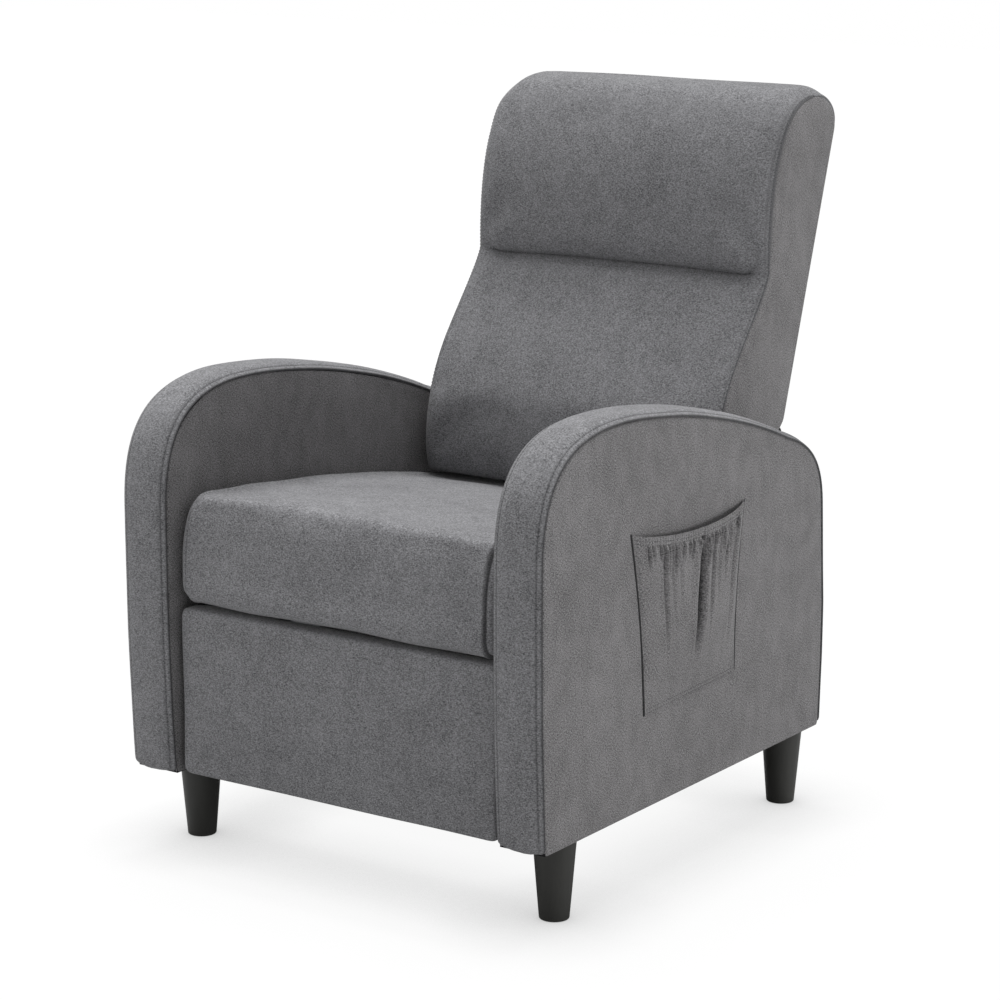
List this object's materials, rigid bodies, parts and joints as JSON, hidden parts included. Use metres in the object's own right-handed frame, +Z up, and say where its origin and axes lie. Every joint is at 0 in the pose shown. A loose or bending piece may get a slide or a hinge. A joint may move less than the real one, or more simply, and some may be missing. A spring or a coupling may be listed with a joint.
{
  "type": "recliner armchair",
  "caption": "Push-back recliner armchair: slim padded arms, two-section back, sliding seat and a fold-away footrest on a coupled linkage, with a side pocket.",
  "frame": {"origin": "on the floor under the middle of the chair's overall box, closed and upright", "axes": "+Z up, the chair faces -Y, +X is the sitter's left, the side with the pocket"},
  "size_m": [0.689, 0.899, 1.004],
  "materials": {
    "upholstery": "heathered grey woven chenille",
    "black_cloth": "black non-woven backing cloth",
    "elastic_webbing": "woven elastic strap",
    "leg_plastic": "satin black moulded plastic",
    "plywood": "raw plywood",
    "timber": "raw pine",
    "nylon": "natural nylon",
    "painted_steel": "satin black paint",
    "steel": "zinc-plated steel"
  },
  "bodies": {
    "base": {"arm_frame_left": "plywood", "arm_frame_right": "plywood", "arm_band_left": "upholstery", "arm_band_right": "upholstery", "arm_outer_panel_left": "upholstery", "arm_outer_panel_right": "upholstery", "arm_inner_panel_left": "upholstery", "arm_inner_panel_right": "upholstery", "leg_front_left": "leg_plastic", "leg_front_right": "leg_plastic", "leg_rear_left": "leg_plastic", "leg_rear_right": "leg_plastic", "leg_bolts": "steel", "front_stretcher": "timber", "rear_rails": "timber", "rear_panel": "upholstery", "base_rail_left": "painted_steel", "base_rail_right": "painted_steel", "rail_bolts": "steel", "side_pocket": "upholstery"},
    "seat": {"carriage_left": "steel", "carriage_right": "steel", "glide_blocks": "nylon", "seat_pins": "steel", "carriage_screws": "steel", "seat_side_rail_left": "timber", "seat_side_rail_right": "timber", "seat_front_rail": "timber", "seat_rear_rail": "timber", "seat_springs": "steel", "seat_cushion": "upholstery"},
    "back": {"back_post_left": "timber", "back_post_right": "timber", "back_top_rail": "timber", "back_lower_rail": "timber", "back_straps": "elastic_webbing", "lumbar_cushion": "upholstery", "head_cushion": "upholstery", "back_side_left": "upholstery", "back_side_right": "upholstery", "back_cover": "upholstery", "back_gusset": "black_cloth", "back_bracket_left": "painted_steel", "back_bracket_right": "painted_steel", "back_fasteners": "steel"},
    "drive_links": {"drive_links": "steel"},
    "front_links": {"front_links": "steel", "cross_tube": "painted_steel", "front_link_pins": "steel"},
    "rear_links": {"rear_links": "steel", "rear_link_pins": "steel"},
    "carrier_links": {"carrier_links": "steel", "carrier_pins": "steel"},
    "control_links": {"control_links": "steel"},
    "footrest": {"footrest_board": "plywood", "footrest_pad": "upholstery", "footrest_bracket_left": "painted_steel", "footrest_bracket_right": "painted_steel", "footrest_screws": "steel", "footrest_pins": "steel"}
  },
  "joints": [
    {"name": "seat_slide", "type": "slide", "parent": "base", "child": "seat", "axis": [0, -1, 0], "range_m": [0, 0.095]},
    {"name": "back_recline", "type": "hinge", "parent": "seat", "child": "back", "pos_m": [0, 0.161, 0.33], "axis": [-1, 0, 0], "range_deg": [0, 35], "deforming": ["back_gusset"]},
    {"name": "drive_link_swing", "type": "hinge", "parent": "back", "child": "drive_links", "pos_m": [0, 0.076, 0.256], "axis": [-1, 0, 0], "range_deg": [-39.6, 0]},
    {"name": "front_link_swing", "type": "hinge", "parent": "seat", "child": "front_links", "pos_m": [0, -0.282, 0.314], "axis": [-1, 0, 0], "range_deg": [0, 80]},
    {"name": "rear_link_swing", "type": "hinge", "parent": "seat", "child": "rear_links", "pos_m": [0, -0.227, 0.314], "axis": [-1, 0, 0], "range_deg": [0, 80]},
    {"name": "carrier_swing", "type": "hinge", "parent": "front_links", "child": "carrier_links", "pos_m": [0, -0.2393, 0.15462], "axis": [-1, 0, 0], "range_deg": [-80, 0]},
    {"name": "control_swing", "type": "hinge", "parent": "front_links", "child": "control_links", "pos_m": [0, -0.25224, 0.20292], "axis": [-1, 0, 0], "range_deg": [-80, 0]},
    {"name": "footrest_swing", "type": "hinge", "parent": "carrier_links", "child": "footrest", "pos_m": [0, -0.36186, 0.25747], "axis": [-1, 0, 0], "range_deg": [0, 80]}
  ],
  "couplings": [
    {"joint": "back_recline", "follows": "seat_slide", "rad_per_m": 6.43},
    {"joint": "drive_link_swing", "follows": "seat_slide", "rad_per_m": -7.272},
    {"joint": "front_link_swing", "follows": "seat_slide", "rad_per_m": 14.697},
    {"joint": "rear_link_swing", "follows": "seat_slide", "rad_per_m": 14.697},
    {"joint": "carrier_swing", "follows": "seat_slide", "rad_per_m": -14.697},
    {"joint": "control_swing", "follows": "seat_slide", "rad_per_m": -14.697},
    {"joint": "footrest_swing", "follows": "seat_slide", "rad_per_m": 14.697}
  ]
}
